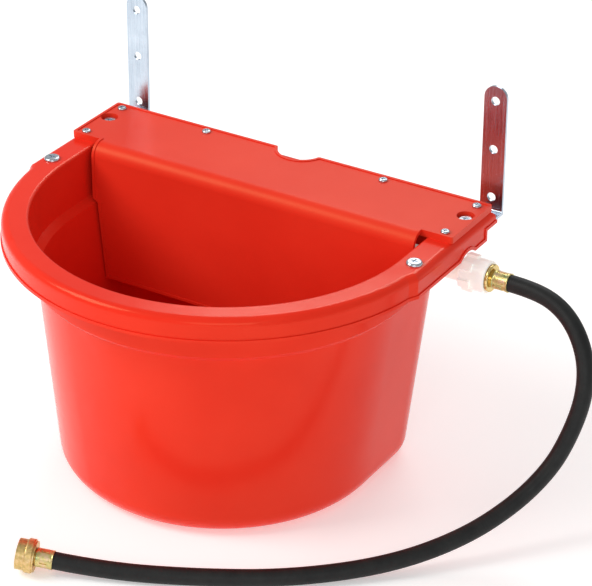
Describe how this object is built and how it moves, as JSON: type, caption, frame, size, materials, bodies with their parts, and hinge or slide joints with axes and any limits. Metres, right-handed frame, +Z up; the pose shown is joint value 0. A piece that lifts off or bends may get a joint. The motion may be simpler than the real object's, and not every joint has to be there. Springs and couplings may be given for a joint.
{
  "type": "livestock water trough",
  "caption": "Wall-hung half-round livestock water trough with a covered float valve, two flat steel hanging brackets and a short inlet hose.",
  "frame": {"origin": "on the floor, on the basin's flat base, under the centre of the rim's half-round front", "axes": "+X towards the valve side, +Y towards the wall, +Z up"},
  "size_m": [0.6265, 0.483, 0.4046],
  "materials": {
    "trough_plastic": "glossy orange-red moulded polyethylene",
    "cover_plastic": "orange-red moulded plastic with a fine satin grain",
    "zinc_steel": "bright zinc-plated steel",
    "zinc_strap": "rolled zinc-plated steel strap",
    "nylon": "translucent natural nylon",
    "seal_rubber": "soft black rubber",
    "hose_rubber": "matt black rubber with fine ribs",
    "float_plastic": "off-white moulded plastic",
    "brass": "turned brass",
    "plated_ferrule": "yellow chromate plating, crimped",
    "plated_nut": "yellow chromate plating"
  },
  "bodies": {
    "trough": {"trough_bowl": "trough_plastic", "float_cover": "cover_plastic", "cover_screws": "zinc_steel", "left_wall_bracket": "zinc_strap", "right_wall_bracket": "zinc_strap", "bracket_bolts": "zinc_steel", "bracket_washers": "zinc_steel", "bracket_nuts": "zinc_steel", "valve_body": "nylon", "valve_gasket": "seal_rubber", "valve_lock_nut": "nylon", "inlet_washer": "seal_rubber", "pivot_pin": "brass", "hose_male_fitting": "brass", "male_ferrule": "plated_ferrule", "hose_tube": "hose_rubber", "female_ferrule": "plated_ferrule", "hose_female_tail": "brass", "hose_washer": "seal_rubber"},
    "float_arm": {"float_lever": "nylon", "float_rod": "brass", "valve_float": "float_plastic", "float_nuts": "brass"},
    "plunger": {"valve_plunger": "nylon", "plunger_seal": "seal_rubber"},
    "inlet_nut": {"inlet_swivel_nut": "nylon"},
    "hose_nut": {"hose_swivel_nut": "plated_nut"}
  },
  "joints": [
    {"name": "float_arm_hinge", "type": "hinge", "parent": "trough", "child": "float_arm", "pos_m": [0.142, 0.081, 0.2264], "axis": [0, 1, 0], "range_deg": [0, 30]},
    {"name": "plunger_slide", "type": "slide", "parent": "trough", "child": "plunger", "axis": [1, 0, 0], "range_m": [0, 0.0053]},
    {"name": "inlet_nut_spin", "type": "hinge", "parent": "trough", "child": "inlet_nut", "pos_m": [0.245, 0.081, 0.2364], "axis": [1, 0, 0], "continuous": true},
    {"name": "hose_nut_spin", "type": "hinge", "parent": "trough", "child": "hose_nut", "pos_m": [-0.04085, -0.30305, 0.01823], "axis": [-0.9205, -0.3721, 0.1195], "continuous": true}
  ],
  "couplings": [
    {"joint": "plunger_slide", "follows": "float_arm_hinge", "m_per_rad": 0.01}
  ]
}
